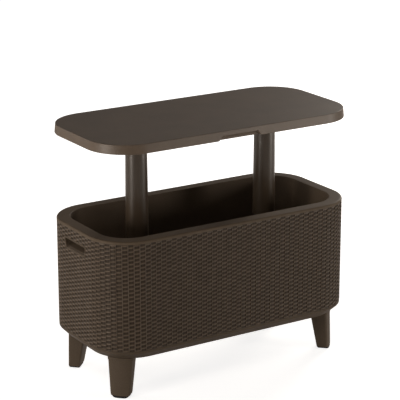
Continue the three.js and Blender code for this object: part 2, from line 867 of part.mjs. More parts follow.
const panelScrew = panScrew(panelScrewShank, panelScrewHead, panelScrewHeadHeight, panelScrewLength)
  .rotateX(Math.PI)
  .translate(0, 0, panelZ - seatGap + panelScrewLength);
for (const [name, x, y] of panelScrewPlaces) {
  add(`panel_screw_${name}`, panelScrew, steel).position.set(x, y, 0);
}

// Columns: tapered tubes, wider at the foot, that slide over the posts on a bush
const columnTopZ = columnFlangeZ + columnFlange;
const columnScrewLength = columnFlange + seatHeight + panelThickness;
const landHeight = 15;
const landRadius = postRadius + runningGap;
const reliefRadius = postRadius + latchProud + 2 * runningGap;
const reliefStep = reliefRadius - landRadius;
const upperLandHeight = 14;
const keywayHalf = latchRadius + 2 * runningGap;

function columnRadiusAt(z) {
  const share = (z - columnFootZ) / (bandBottomZ - columnFootZ);
  return columnFootRadius + (columnTopRadius - columnFootRadius) * share;
}

function makeColumn() {
  const bore = columnTopRadius - columnWall;
  const column = turned([
    [columnFootRadius - columnWall, columnFootZ],
    [columnFootRadius, columnFootZ],
    [columnTopRadius, bandBottomZ],
    [columnTopRadius, columnFlangeZ],
    [columnFlangeRadius, columnFlangeZ],
    [columnFlangeRadius, columnTopZ],
    [bore, columnTopZ],
    [bore, bandBottomZ],
    [columnFootRadius - columnWall, columnFootZ],
  ]);
  const holes = columnScrewPlaces.map(([x, y]) => (
    rod(columnScrewHole, columnFlangeZ - overrun, columnTopZ + overrun, x, y)
  ));
  return cut(column, ...holes);
}

function makeBush() {
  const outerAt = (z) => columnRadiusAt(z) - columnWall - seatGap;
  const upperLandZ = bushTopZ - upperLandHeight;
  const bush = turned([
    [landRadius, bushFootZ],
    [columnFootRadius, bushFootZ],
    [columnFootRadius, bushFootZ + bushLip],
    [outerAt(columnFootZ), bushFootZ + bushLip],
    [outerAt(bushTopZ), bushTopZ],
    [landRadius, bushTopZ],
    [landRadius, upperLandZ],
    [reliefRadius, upperLandZ - reliefStep],
    [reliefRadius, bushFootZ + landHeight + reliefStep],
    [landRadius, bushFootZ + landHeight],
    [landRadius, bushFootZ],
  ]);
  const keywayZ = upperLandZ - reliefStep - overrun;
  const keyway = block(-keywayHalf, keywayHalf, -reliefRadius, 0, keywayZ, bushTopZ + overrun);
  return cut(bush, keyway);
}

const column = makeColumn();
const bush = makeBush();
const columnScrew = panScrew(
  columnScrewShank,
  columnScrewHead,
  columnScrewHeadHeight,
  columnScrewLength,
);

for (const side of sides) {
  const place = new THREE.Group();
  place.position.x = side.x;
  table.add(place);
  add(`column_${side.name}`, column, resin, place);
  add(`column_bush_${side.name}`, bush, innerResin, place);
  columnScrewPlaces.forEach(([x, y], i) => {
    const screw = add(`column_screw_${side.name}_${i + 1}`, columnScrew, steel, place);
    screw.position.set(x, y, columnTopZ + seatGap - columnScrewLength);
  });
}

// Drain through the middle of the floor: gasket, spout, nut, and a screw cap with a washer
const spoutFlangeRadius = 23;
const spoutFlange = 4;
const spoutBore = 8;
const spoutEndZ = 100;
const spoutGasketOuter = 22;
const nutHeight = 8;
const nutReach = 19;
const nutSides = 6;
const washerThickness = 2;
const capWall = 3.7;
const capFloor = 4;
const capOverlap = 8;
const gripLength = 26;
const gripWidth = 4;
const gripDrop = 6;

add("drain_gasket", tube(drainHole, spoutGasketOuter, gasketZ, gasketZ + gasketThickness), blackRubber);

const spoutFlangeZ = gasketZ + gasketThickness + seatGap;
add("drain_spout", turned([
  [spoutBore, spoutEndZ],
  [drainRadius, spoutEndZ],
  [drainRadius, spoutFlangeZ],
  [spoutFlangeRadius, spoutFlangeZ],
  [spoutFlangeRadius, spoutFlangeZ + spoutFlange],
  [spoutBore, spoutFlangeZ + spoutFlange],
  [spoutBore, spoutEndZ],
]), innerResin);

const nutTopZ = tubBaseZ - seatGap;
add("drain_nut", cut(
  rod(nutReach, nutTopZ - nutHeight, nutTopZ, 0, 0, nutSides),
  rod(drainHole, nutTopZ - nutHeight - overrun, nutTopZ + overrun, 0, 0, turnedSides),
), innerResin);

const washerTopZ = spoutEndZ - seatGap;
const capInsideZ = washerTopZ - washerThickness - seatGap;
const capInnerRadius = drainRadius + seatGap;
const capOuterRadius = capInnerRadius + capWall;
const washer = rod(drainRadius, washerTopZ - washerThickness, washerTopZ, 0, 0, turnedSides);
add("drain_washer", washer, blackRubber);
const cup = turned([
  [0, capInsideZ - capFloor],
  [capOuterRadius, capInsideZ - capFloor],
  [capOuterRadius, spoutEndZ + capOverlap],
  [capInnerRadius, spoutEndZ + capOverlap],
  [capInnerRadius, capInsideZ],
  [0, capInsideZ],
]);
const gripZ = capInsideZ - capFloor - gripDrop;
const [gripX, gripY] = [gripLength / 2, gripWidth / 2];
const grip = block(-gripX, gripX, -gripY, gripY, gripZ, capInsideZ - capFloor / 2);
add("drain_cap", join(cup, grip), innerResin);

export default table;
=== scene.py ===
"""Ice bucket coffee table: a resin patio table whose top rides up on two columns out of an ice tub.

Metres, +Z up, origin on the floor under the middle of the tub, +X along its long side and -Y its
front, with the tabletop raised as in the photograph.
"""
import math
import bmesh
import bpy
import numpy as np
from mathutils import Matrix, Vector


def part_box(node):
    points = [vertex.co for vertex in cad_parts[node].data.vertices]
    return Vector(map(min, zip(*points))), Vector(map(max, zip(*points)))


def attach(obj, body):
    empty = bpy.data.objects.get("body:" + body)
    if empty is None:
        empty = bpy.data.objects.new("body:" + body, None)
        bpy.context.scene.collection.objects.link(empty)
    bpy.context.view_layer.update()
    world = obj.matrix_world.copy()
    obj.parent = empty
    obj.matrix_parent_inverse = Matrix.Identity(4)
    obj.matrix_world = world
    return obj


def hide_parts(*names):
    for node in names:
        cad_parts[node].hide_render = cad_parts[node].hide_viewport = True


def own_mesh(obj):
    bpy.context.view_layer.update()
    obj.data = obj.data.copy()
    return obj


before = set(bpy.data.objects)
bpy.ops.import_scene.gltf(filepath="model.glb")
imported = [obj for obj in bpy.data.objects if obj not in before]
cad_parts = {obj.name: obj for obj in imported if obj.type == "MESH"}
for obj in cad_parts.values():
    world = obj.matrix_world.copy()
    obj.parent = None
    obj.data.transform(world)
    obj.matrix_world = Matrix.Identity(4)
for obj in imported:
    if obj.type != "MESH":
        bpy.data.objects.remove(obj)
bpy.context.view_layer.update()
mm = 0.001

# Camera: where the photograph was taken from, found from the outlines of the rim, the
# tabletop and the tub. A lens and a sensor in millimetres, aimed at the middle of the object.
camera_azimuth = math.radians(32.31)
camera_elevation = math.radians(16.99)
camera_distance = 4904.9 * mm
camera_target = Vector((-5.9, 0, 481.5)) * mm
camera_lens = 153.56
camera_sensor = 36

camera_data = bpy.data.cameras.new("camera")
camera_data.lens = camera_lens
camera_data.sensor_width = camera_sensor
camera = bpy.data.objects.new("camera", camera_data)
bpy.context.scene.collection.objects.link(camera)
camera_look = Vector((
    math.sin(camera_azimuth) * math.cos(camera_elevation),
    math.cos(camera_azimuth) * math.cos(camera_elevation),
    -math.sin(camera_elevation),
))
camera.location = camera_target - camera_look * camera_distance
camera.rotation_euler = camera_look.to_track_quat("-Z", "Y").to_euler()
bpy.context.scene.camera = camera


# Studio: a white paper floor under soft boxes in a white room. The room and the floor show white
# to the camera, as in the photograph, and the floor keeps a faint shadow round the feet.
def linear(code):
    """A colour written as sRGB hex, such as "4b4239", turned to linear red, green, blue and alpha."""
    shares = np.array([int(code[i:i + 2], 16) / 255 for i in (0, 2, 4)])
    values = np.where(shares <= 0.04045, shares / 12.92, ((shares + 0.055) / 1.055) ** 2.4)
    return (*values.tolist(), 1.0)


def add_node(tree, kind, inputs=None, **settings):
    """Adds a node, sets its properties, and links or sets its inputs by name or number."""
    made = tree.nodes.new(kind)
    for key, value in settings.items():
        setattr(made, key, value)
    for key, value in (inputs or {}).items():
        if isinstance(value, bpy.types.NodeSocket):
            tree.links.new(value, made.inputs[key])
        else:
            made.inputs[key].default_value = value
    return made


def new_finish(name):
    """A new material and its node tree, emptied."""
    made = bpy.data.materials.new(name)
    made.use_nodes = True
    made.node_tree.nodes.clear()
    return made, made.node_tree


mirrored_share = 0.15
room_light = 0.04
lamp_tint = "fff5ea"
tub_middle = Vector((0, 0, 0.4))
floor_size = 14
glow_near = 0.8
glow_start = 0.5
glow_end = 2.0


def background_share(tree):
    """How far a ray sees the white background rather than the light it really gets: wholly for
    the camera and through clear things, and in part in a reflection, as the satin resin would
    turn grey if it mirrored a white room at full strength."""
    rays = add_node(tree, "ShaderNodeLightPath")
    dimmed = add_node(tree, "ShaderNodeMath", {
        0: rays.outputs["Is Glossy Ray"], 1: mirrored_share}, operation="MULTIPLY")
    seen = add_node(tree, "ShaderNodeMath", {
        0: rays.outputs["Is Camera Ray"],
        1: rays.outputs["Is Transmission Ray"]}, operation="MAXIMUM")
    return add_node(tree, "ShaderNodeMath", {
        0: seen.outputs[0], 1: dimmed.outputs[0]}, operation="MAXIMUM").outputs[0]


world = bpy.data.worlds.new("white_room")
bpy.context.scene.world = world
world.use_nodes = True
world.node_tree.nodes.clear()
white = add_node(world.node_tree, "ShaderNodeBackground", {
    "Color": linear("ffffff"), "Strength": 1.0})
lit = add_node(world.node_tree, "ShaderNodeBackground", {
    "Color": linear("fffcf8"), "Strength": room_light})
room = add_node(world.node_tree, "ShaderNodeMixShader", {
    0: background_share(world.node_tree), 1: lit.outputs[0], 2: white.outputs[0]})
add_node(world.node_tree, "ShaderNodeOutputWorld", {"Surface": room.outputs[0]})


def soft_box(name, place, width, height, power):
    """An area lamp at a place, aimed at the tub, sized in metres, its power in watts."""
    data = bpy.data.lights.new(name, "AREA")
    data.shape = "RECTANGLE"
    data.size = width
    data.size_y = height
    data.energy = power
    data.color = linear(lamp_tint)[:3]
    lamp = bpy.data.objects.new(name, data)
    bpy.context.scene.collection.objects.link(lamp)
    lamp.location = place
    lamp.rotation_euler = (tub_middle - Vector(place)).to_track_quat("-Z", "Y").to_euler()


# The boxes at the left and the front stand low: their highlights run down the columns, and the
# flat tabletop doesn't mirror them. The high one lightens what faces up.
soft_box("soft_box_left", (-3.2, -0.4, 0.55), 0.8, 1.0, 34)
soft_box("soft_box_front", (2.5, -2.4, 0.55), 0.8, 1.0, 34)
soft_box("soft_box_right", (3.15, 1.75, 1.6), 1.2, 2.2, 64)
soft_box("soft_box_back", (-2.2, 2.6, 1.5), 1.4, 2.2, 20)
soft_box("soft_box_high", (-1.9, -1.7, 2.9), 1.4, 1.4, 12)

floor_mesh = bpy.data.meshes.new("floor")
floor_half = floor_size / 2
floor_mesh.from_pydata(
    [(-floor_half, -floor_half, 0), (floor_half, -floor_half, 0),
     (floor_half, floor_half, 0), (-floor_half, floor_half, 0)], [], [(0, 1, 2, 3)])
floor = bpy.data.objects.new("floor", floor_mesh)
bpy.context.scene.collection.objects.link(floor)

# Matt white paper: it takes the shadow, and its glow to the camera, weaker under the tub than
# away from it, keeps that shadow faint and turns the rest white.
floor_paper, paper_tree = new_finish("matt_white_paper")
paper = add_node(paper_tree, "ShaderNodeBsdfDiffuse", {"Color": linear("f4f4f4")})
paper_place = add_node(paper_tree, "ShaderNodeTexCoord").outputs["Object"]
away = add_node(paper_tree, "ShaderNodeVectorMath", {0: paper_place}, operation="LENGTH")
clearing = add_node(paper_tree, "ShaderNodeMapRange", {
    "Value": away.outputs["Value"], "From Min": glow_start, "From Max": glow_end,
    "To Min": glow_near, "To Max": 1.0})
glow = add_node(paper_tree, "ShaderNodeEmission", {
    "Color": linear("ffffff"), "Strength": clearing.outputs[0]})
lifted = add_node(paper_tree, "ShaderNodeAddShader", {0: paper.outputs[0], 1: glow.outputs[0]})
floor_look = add_node(paper_tree, "ShaderNodeMixShader", {
    0: background_share(paper_tree), 1: paper.outputs[0], 2: lifted.outputs[0]})
add_node(paper_tree, "ShaderNodeOutputMaterial", {"Surface": floor_look.outputs[0]})
floor_mesh.materials.append(floor_paper)


# Tub liner: the ice basin and the rim, one injection moulding in polypropylene. The basin
# tapers to a rounded floor, and the rim's outer edge is rolled over the wall's top.
liner_low, liner_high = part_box("tub_liner_rim")
tub_corner = 121.4 * mm
tub_shape = np.array([liner_high.x - liner_low.x, liner_high.y - liner_low.y, tub_corner])
rim_top = liner_high.z
rim_width = 38 * mm
rim_edge = 6.5 * mm
rim_inner_edge = 2.5 * mm
rim_plate = 4 * mm
rim_lip = 8 * mm
rim_tongue = 12 * mm
rim_run_out = 8 * mm
rim_run_in = 6 * mm
resin_wall = 3 * mm
part_gap = 0.3 * mm
basin_radius = 86 * mm
basin_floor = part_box("tub_liner_middle")[0].z + resin_wall
basin_taper = 8 * mm
basin_fillet = 14 * mm
wall_inset = 1.6 * mm
drain_hole = 12.3 * mm
corner_steps = 24
side_steps = 12
crisp_angle = math.radians(40)
plastic_ior = 1.49
bump_strength = 0.6


def grown(shape, by):
    """A rounded rectangle's length, width and corner radius with every side moved out."""
    return shape + np.array([2 * by, 2 * by, by])


def level_ring(outline, height):
    """An outline seen from above, laid at a height."""
    return np.column_stack([outline, np.full(len(outline), height)])


def unit_circle(count):
    """Points spaced evenly round a circle of radius 1, anticlockwise from +X: (cos, sin)."""
    angle = np.linspace(0, 2 * math.pi, count, endpoint=False)
    return np.stack([np.cos(angle), np.sin(angle)], 1)


def rounded_ring(shape, height):
    """A rounded rectangle seen from above, anticlockwise: each corner is an arc, its centre
    plus radius times (cos, sin), and each straight side is shared out evenly up to the next arc."""
    length, width, radius = shape
    arcs = []
    turn = np.linspace(0, math.pi / 2, corner_steps + 1)
    centre = np.array([length / 2 - radius, width / 2 - radius])
    signs = np.array([(1, 1), (-1, 1), (-1, -1), (1, -1)])
    for corner in range(4):
        angle = turn + corner * math.pi / 2
        arcs.append(signs[corner] * centre + radius * np.stack([np.cos(angle), np.sin(angle)], 1))
    loop = []
    for corner in range(4):
        start = arcs[corner][-1]
        step = (arcs[(corner + 1) % 4][0] - start) / side_steps
        loop += [arcs[corner], start + np.arange(1, side_steps)[:, None] * step]
    return level_ring(np.concatenate(loop), height)


def round_hole(radius, height):
    """A circle with as many points as a rounded ring."""
    return level_ring(radius * unit_circle(4 * (corner_steps + side_steps)), height)


def rings_along(shape, line):
    """A rounded ring for each (across, height) point of a line, its sides moved out by across."""
    return [rounded_ring(grown(shape, across), height) for across, height in line]


def make_object(name, points, quads, others):
    """A smooth mesh object from points, quads and a list of other faces, turned to face outwards
    where the volume they enclose comes out negative, with edges sharper than 40 degrees crisp."""
    mesh = bpy.data.meshes.new(name)
    mesh.from_pydata(points.tolist(), [], quads.tolist() + others)
    solid = bmesh.new()
    solid.from_mesh(mesh)
    if solid.calc_volume(signed=True) < 0:
        bmesh.ops.reverse_faces(solid, faces=solid.faces)
    solid.to_mesh(mesh)
    solid.free()
    mesh.polygons.foreach_set("use_smooth", np.ones(len(mesh.polygons), bool))
    mesh.set_sharp_from_angle(angle=crisp_angle)
    made = bpy.data.objects.new(name, mesh)
    bpy.context.scene.collection.objects.link(made)
    return made


def loft(name, rings, joined=False):
    """The skin over a stack of rings, level by level. A quad joins each pair of neighbours on one
    ring to the same pair on the next. The first and last rings are closed by flat faces, or
    joined to each other where the section itself goes all the way round."""
    stack = np.stack(rings)
    levels, count = stack.shape[:2]
    grid = np.arange(levels * count).reshape(levels, count)
    low = grid if joined else grid[:-1]
    high = np.roll(grid, -1, 0) if joined else grid[1:]
    quads = np.stack([low, np.roll(low, -1, 1), np.roll(high, -1, 1), high], -1).reshape(-1, 4)
    caps = [] if joined else [grid[0][::-1].tolist(), grid[-1].tolist()]
    return make_object(name, stack.reshape(-1, 3), quads, caps)


def softened(corners, closed=False, steps=5):
    """A line through (across, up, rounding) corners, each rounded corner turned into a curve that
    leaves one side and joins the other at the rounding's length from it: a point of it is
    (1 - t)^2 start + 2 t (1 - t) corner + t^2 end."""
    places = np.array([corner[:2] for corner in corners], float)
    line = []
    for i, corner in enumerate(corners):
        rounding = corner[2] if len(corner) > 2 else 0
        if rounding == 0 or (not closed and i in (0, len(corners) - 1)):
            line.append(places[i][None])
            continue
        before = places[i - 1] - places[i]
        after = places[(i + 1) % len(corners)] - places[i]
        start = places[i] + before / np.linalg.norm(before) * rounding
        end = places[i] + after / np.linalg.norm(after) * rounding
        share = np.linspace(0, 1, steps + 1)[:, None]
        line.append((1 - share) ** 2 * start + 2 * share * (1 - share) * places[i] + share ** 2 * end)
    return np.concatenate(line)


def settle(piece, body, slot, material, *nodes):
    """Gives a piece its body and its material, and hides the nodes of the frame it stands for.
    The slot is not used.
    """
    piece.data.materials.clear()
    piece.data.materials.append(material)
    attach(piece, body)
    if nodes:
        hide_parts(*nodes)
    return piece


def moulded_resin(name, colour, darker, roughness, shine=0.5, relief=0.05 * mm):
    """Injection moulded polypropylene: satin, a little uneven in colour where the melt flowed,
    with the fine leathery grain of an etched mould, drawn coarse enough to show. Roughness
    swings by a tenth either way with the grain, and shine is how strongly it reflects."""
    made, tree = new_finish(name)
    place = add_node(tree, "ShaderNodeTexCoord").outputs["Object"]
    flow_size = 90 * mm
    grain = 1.4 * mm
    flow = add_node(tree, "ShaderNodeTexNoise", {
        "Vector": place, "Scale": 1 / flow_size, "Detail": 3.0, "Roughness": 0.5})
    speck = add_node(tree, "ShaderNodeTexNoise", {
        "Vector": place, "Scale": 1 / (2 * grain), "Detail": 2.0, "Roughness": 0.6})
    blend = add_node(tree, "ShaderNodeMath", {
        0: flow.outputs["Fac"], 1: speck.outputs["Fac"]}, operation="MULTIPLY")
    spread = add_node(tree, "ShaderNodeMapRange", {
        "Value": blend.outputs[0], "From Min": 0.12, "From Max": 0.4})
    tone = add_node(tree, "ShaderNodeMix", {
        0: spread.outputs[0], 6: linear(darker), 7: linear(colour)}, data_type="RGBA")
    gloss = add_node(tree, "ShaderNodeMapRange", {
        "Value": speck.outputs["Fac"], "From Min": 0.3, "From Max": 0.7,
        "To Min": 0.9 * roughness, "To Max": 1.1 * roughness})
    etched = add_node(tree, "ShaderNodeTexNoise", {
        "Vector": place, "Scale": 1 / grain, "Detail": 3.0, "Roughness": 0.55})
    bump = add_node(tree, "ShaderNodeBump", {
        "Height": etched.outputs["Fac"], "Distance": relief, "Strength": bump_strength})
    skin = add_node(tree, "ShaderNodeBsdfPrincipled", {
        "Base Color": tone.outputs[2], "Roughness": gloss.outputs[0],
        "Specular IOR Level": shine, "IOR": plastic_ior, "Normal": bump.outputs[0]})
    add_node(tree, "ShaderNodeOutputMaterial", {"Surface": skin.outputs[0]})
    return made


# The liner is painted a shade paler than the foot and the legs: painted light for the rim, which
# lies in the tabletop's shade. It is also duller, so that its rim stands out from the wall as a
# plain band without a highlight.
liner_lit_polypropylene = moulded_resin("liner_lit_polypropylene", "6c5e4f", "605345", 0.6, 0.18)


def make_liner():
    """Rings from the drain hole out along the underside, up the basin's outside, under and over
    the rim, and down the inside back to the drain."""
    basin = grown(tub_shape, -rim_width)
    basin[2] = basin_radius
    base = grown(basin, -basin_taper)
    under = basin_floor - resin_wall
    lip_base = rim_top - rim_lip
    tongue = -wall_inset - resin_wall - part_gap
    rings = [round_hole(drain_hole, under)]
    outside = softened([(-basin_fillet, under), (resin_wall, under, basin_fillet + resin_wall),
                        (resin_wall, under + 2 * basin_fillet)], steps=6)
    rings += rings_along(base, outside[:-1])
    rings.append(rounded_ring(grown(basin, resin_wall), rim_top - rim_plate))
    edge = softened([
        (tongue - resin_wall, rim_top - rim_plate), (tongue - resin_wall, lip_base - rim_tongue),
        (tongue, lip_base - rim_tongue), (tongue, lip_base), (0, lip_base, 0.8 * mm),
        (0, rim_top, rim_edge), (-rim_edge - rim_run_out, rim_top)], steps=10)
    rings += rings_along(tub_shape, edge)
    inner = softened([(rim_inner_edge + rim_run_in, rim_top), (0, rim_top, rim_inner_edge),
                      (0, rim_top - 2 * rim_inner_edge)], steps=6)
    rings += rings_along(basin, inner[:-1])
    inside = softened([(0, basin_floor + 2 * basin_fillet), (0, basin_floor, basin_fillet),
                       (-2 * basin_fillet, basin_floor)], steps=10)
    rings += rings_along(base, inside[1:])
    rings.append(round_hole(drain_hole, basin_floor))
    return loft("tub_liner_moulding", rings, joined=True)


settle(make_liner(), "tub", "resin", liner_lit_polypropylene,
       "tub_liner_rim", "tub_liner_left", "tub_liner_middle", "tub_liner_right")


# Tub wall: the same resin, moulded as a plain weave of flat strands over upright stakes.
# Strands run level, each over one stake and under the next, a row's overs above the last's unders.
wall_foot = 147.4 * mm
wall_top = rim_top - rim_lip
weave_rise = 1.5 * mm
weave_fall = 1.9 * mm
stakes_long = 47
stakes_short = 21
strand_rows = 53
strand_slant = 0.22
over_power = 0.7
dive_middle = 0.5
pit_fall = 0.2
pit_place = 0.3
pit_width = 0.12
seam_fall = 0.6
seam_half = 0.36
rib_rise = 0.9
rib_half = 0.1
mottle_size = 24 * mm
strand_grain = 1.2 * mm
strand_relief = 0.06 * mm
stake_shares = np.array([-0.5, -0.4, -0.3, -0.12, 0.12, 0.3, 0.4])
strand_shares = np.array([-0.5, -0.38, -0.14, 0.14, 0.38])
wall_length, wall_width, wall_radius = grown(tub_shape, -wall_inset)


def wall_path(distance, side):
    """A point and an outward normal at a distance along the wall's plan from the middle of one
    side, both ways: straight as far as the corner, then round the corner's arc."""
    half = (wall_length if side % 2 == 0 else wall_width) / 2 - wall_radius
    reach = (wall_width if side % 2 == 0 else wall_length) / 2
    along = np.clip(distance, -half, half)
    angle = (distance - along) / wall_radius
    normal = np.stack([np.sin(angle), -np.cos(angle)], 1)
    out = wall_radius * (1 - np.cos(angle)) - reach
    flat = np.stack([along + wall_radius * np.sin(angle), out], 1)
    turn = side * math.pi / 2
    spin = np.array([[math.cos(turn), math.sin(turn)], [-math.sin(turn), math.cos(turn)]])
    return flat @ spin, normal @ spin


def weave_height(stake, row):
    """Height of the weave from -1 to 1 over the plane of the wall. A cosine across the strands,
    which rise a little to the right, is above 0 where a strand lies over its stake and below 0
    where it dives. An over is round both ways. A dive shows the stake, with a pit on each side
    of it. A seam parts the strands, and an upright rib stands between neighbouring stakes."""
    local = stake - np.round(stake)
    side = 1 - 2 * (np.round(stake) % 2)
    across = side * np.cos(math.pi * (row - strand_slant * local))
    over = np.abs(across) * np.cos(math.pi * local) ** over_power
    pit = np.exp(-((np.abs(local) - pit_place) / pit_width) ** 2)
    dive = (dive_middle + pit_fall * pit) * np.clip(2 * np.abs(across), 0, 1)
    seam = np.clip(1 - np.abs(across) / seam_half, 0, 1)
    lie = np.where(across > 0, over, -dive) - seam_fall * seam
    rib = np.clip(1 - (0.5 - np.abs(local)) / rib_half, 0, 1)
    return np.clip(lie * (1 - rib) + rib_rise * rib, -1, 1)


def stations(count, shares):
    """Places along a row of equal cells: the same shares of each cell, and the end of the last."""
    cells = np.arange(count)[:, None] + 0.5 + shares
    return np.append(cells.reshape(-1), count)


def make_wall_side(name, side, stakes):
    """A grid of points across the stakes and up the rows, pushed out by the weave's height, which
    fades out over half a row at the top and the foot. Edges and a plain back close the panel."""
    perimeter = 2 * (wall_length + wall_width - 4 * wall_radius) + 2 * math.pi * wall_radius
    pitch = perimeter / (2 * (stakes_long + stakes_short))
    across = stations(stakes, stake_shares) - stakes / 2
    up = stations(strand_rows, strand_shares)
    plan, normal = wall_path(across * pitch, side)
    height = weave_height(across[None, :], up[:, None] - 0.5)
    height = height * np.clip(np.minimum(up, strand_rows - up) / 0.5, 0, 1)[:, None]
    push = np.where(height > 0, weave_rise, weave_fall) * height
    level = wall_foot + (wall_top - wall_foot) * up / strand_rows
    rows, columns = height.shape
    face = np.empty((rows, columns, 3))
    face[:, :, :2] = plan[None] + push[:, :, None] * normal[None]
    face[:, :, 2] = level[:, None]
    back_plan = plan - resin_wall * normal
    back = np.stack([level_ring(back_plan, level[i]) for i in (0, -1)])
    grid = np.arange(rows * columns).reshape(rows, columns)
    rear = rows * columns + np.arange(2 * columns).reshape(2, columns)
    weave = np.stack([grid[:-1, :-1], grid[:-1, 1:], grid[1:, 1:], grid[1:, :-1]], -1)
    quads = [
        weave.reshape(-1, 4),
        np.stack([rear[0, 1:], rear[0, :-1], rear[1, :-1], rear[1, 1:]], -1),
        np.stack([rear[0, :-1], rear[0, 1:], grid[0, 1:], grid[0, :-1]], -1),
        np.stack([grid[-1, :-1], grid[-1, 1:], rear[1, 1:], rear[1, :-1]], -1),
    ]
    ends = [
        [*grid[:, 0][::-1].tolist(), int(rear[0, 0]), int(rear[1, 0])],
        [*grid[:, -1].tolist(), int(rear[1, -1]), int(rear[0, -1])],
    ]
    points = np.concatenate([face.reshape(-1, 3), back.reshape(-1, 3)])
    made = make_object(name, points, np.concatenate(quads), ends)
    relief = np.concatenate([height.reshape(-1), np.full(2 * columns, -1.0)])
    tone = made.data.attributes.new("relief", "FLOAT", "POINT")
    tone.data.foreach_set("value", relief.astype(np.float32))
    return made


def woven_resin(name, crown, body, hollow, rubbed, dull, shine):
    """The weave's resin: the crowns of the strands are painted paler, a painted highlight, and are
    smoother, and the dives are painted darker, painted shade. Colour and roughness follow the relief
    of the mesh, from hollow to crown, with the grain of the etched mould over it. Shine is how
    strongly it reflects."""
    made, tree = new_finish(name)
    place = add_node(tree, "ShaderNodeTexCoord").outputs["Object"]
    relief = add_node(tree, "ShaderNodeAttribute", attribute_name="relief").outputs["Fac"]
    mottle = add_node(tree, "ShaderNodeTexNoise", {
        "Vector": place, "Scale": 1 / mottle_size, "Detail": 2.0, "Roughness": 0.5})
    sway = add_node(tree, "ShaderNodeMapRange", {
        "Value": mottle.outputs["Fac"], "From Min": 0.3, "From Max": 0.7,
        "To Min": -0.15, "To Max": 0.15})
    level = add_node(tree, "ShaderNodeMath", {0: relief, 1: sway.outputs[0]}, operation="ADD")
    share = add_node(tree, "ShaderNodeMapRange", {
        "Value": level.outputs[0], "From Min": -1.0, "From Max": 1.0})
    # The ramp paints shade into the dives and a highlight onto the crowns.
    ramp = add_node(tree, "ShaderNodeValToRGB", {"Fac": share.outputs[0]})
    ramp.color_ramp.elements[0].position = 0.12
    ramp.color_ramp.elements[0].color = linear(hollow)
    ramp.color_ramp.elements[1].position = 0.95
    ramp.color_ramp.elements[1].color = linear(crown)
    middle = ramp.color_ramp.elements.new(0.45)
    middle.color = linear(body)
    gloss = add_node(tree, "ShaderNodeMapRange", {
        "Value": share.outputs[0], "From Min": 0.1, "From Max": 0.9,
        "To Min": dull, "To Max": rubbed})
    grain = add_node(tree, "ShaderNodeTexNoise", {
        "Vector": place, "Scale": 1 / strand_grain, "Detail": 3.0, "Roughness": 0.55})
    bump = add_node(tree, "ShaderNodeBump", {
        "Height": grain.outputs["Fac"], "Distance": strand_relief, "Strength": bump_strength})
    skin = add_node(tree, "ShaderNodeBsdfPrincipled", {
        "Base Color": ramp.outputs[0], "Roughness": gloss.outputs[0],
        "Specular IOR Level": shine, "IOR": plastic_ior, "Normal": bump.outputs[0]})
    add_node(tree, "ShaderNodeOutputMaterial", {"Surface": skin.outputs[0]})
    return made


woven_polypropylene = woven_resin(
    "woven_polypropylene", "6a5a4b", "483d31", "352b21", 0.38, 0.68, shine=0.35)
walls = {}
for wall_name, wall_side, wall_stakes in (
        ("wall_front", 0, stakes_long), ("wall_left", 3, stakes_short),
        ("wall_back", 2, stakes_long), ("wall_right", 1, stakes_short)):
    walls[wall_name] = make_wall_side(wall_name, wall_side, wall_stakes)


# Hand pockets: a cupped slot through each end wall, moulded in one with it, wider at its top, with
# a smooth frame round its mouth, a floor that slopes out and a hollow behind its top edge for the
# fingers to curl into.
slot_low = 400 * mm
slot_high = 425 * mm
slot_half_low = 51 * mm
slot_half_high = 58.5 * mm
slot_rounding = 7 * mm
pocket_back = 389 * mm
pocket_top = 437 * mm
pocket_rise = 16 * mm
pocket_skin = 1.4 * mm
pocket_step = 1 * mm
mouth_depth = 1.4 * mm
frame_width = 4.6 * mm
frame_root = 1.3 * mm
frame_edge = 0.9 * mm
cut_gap = 0.1 * mm
cut_reach = 5 * mm
wall_face = tub_shape[0] / 2 - wall_inset
frame_crest = wall_face + weave_rise + cut_gap
wall_rear = wall_face - resin_wall


def slot_ring(across, low, high, by=0.0):
    """The slot's outline at one distance along the tub, grown: a trapezoid whose ends slope as
    the slot's do, with rounded corners."""
    slope = (slot_half_high - slot_half_low) / (slot_high - slot_low)
    rounding = slot_rounding + by / 2
    low -= by
    high += by
    half_low, half_high = (slot_half_low + by + slope * (height - slot_low) for height in (low, high))
    outline = softened([
        (half_low, low, rounding), (half_high, high, rounding),
        (-half_high, high, rounding), (-half_low, low, rounding)], closed=True, steps=6)
    return np.column_stack([np.full(len(outline), across), outline])


def pocket_floor(across):
    """The sloping floor's height: level with the slot at the wall, raised by its rise at the back."""
    return slot_low + pocket_rise * (wall_face - across) / (wall_face - pocket_back)


def carve(piece, tool, operation="DIFFERENCE"):
    """Cuts a tool out of a piece, or joins it on, for good, and deletes the tool."""
    step = piece.modifiers.new("carve", "BOOLEAN")
    step.operation = operation
    step.solver = "EXACT"
    step.object = tool
    worked_out = bpy.context.evaluated_depsgraph_get()
    made = bpy.data.meshes.new_from_object(
        piece.evaluated_get(worked_out), preserve_all_data_layers=True, depsgraph=worked_out)
    piece.modifiers.clear()
    piece.data = made
    made.set_sharp_from_angle(angle=crisp_angle)
    bpy.data.objects.remove(tool)


def facing(rings, sign):
    """Rings for the right end as they are, or turned half round for the left one."""
    return [ring * (sign, sign, 1) for ring in rings]


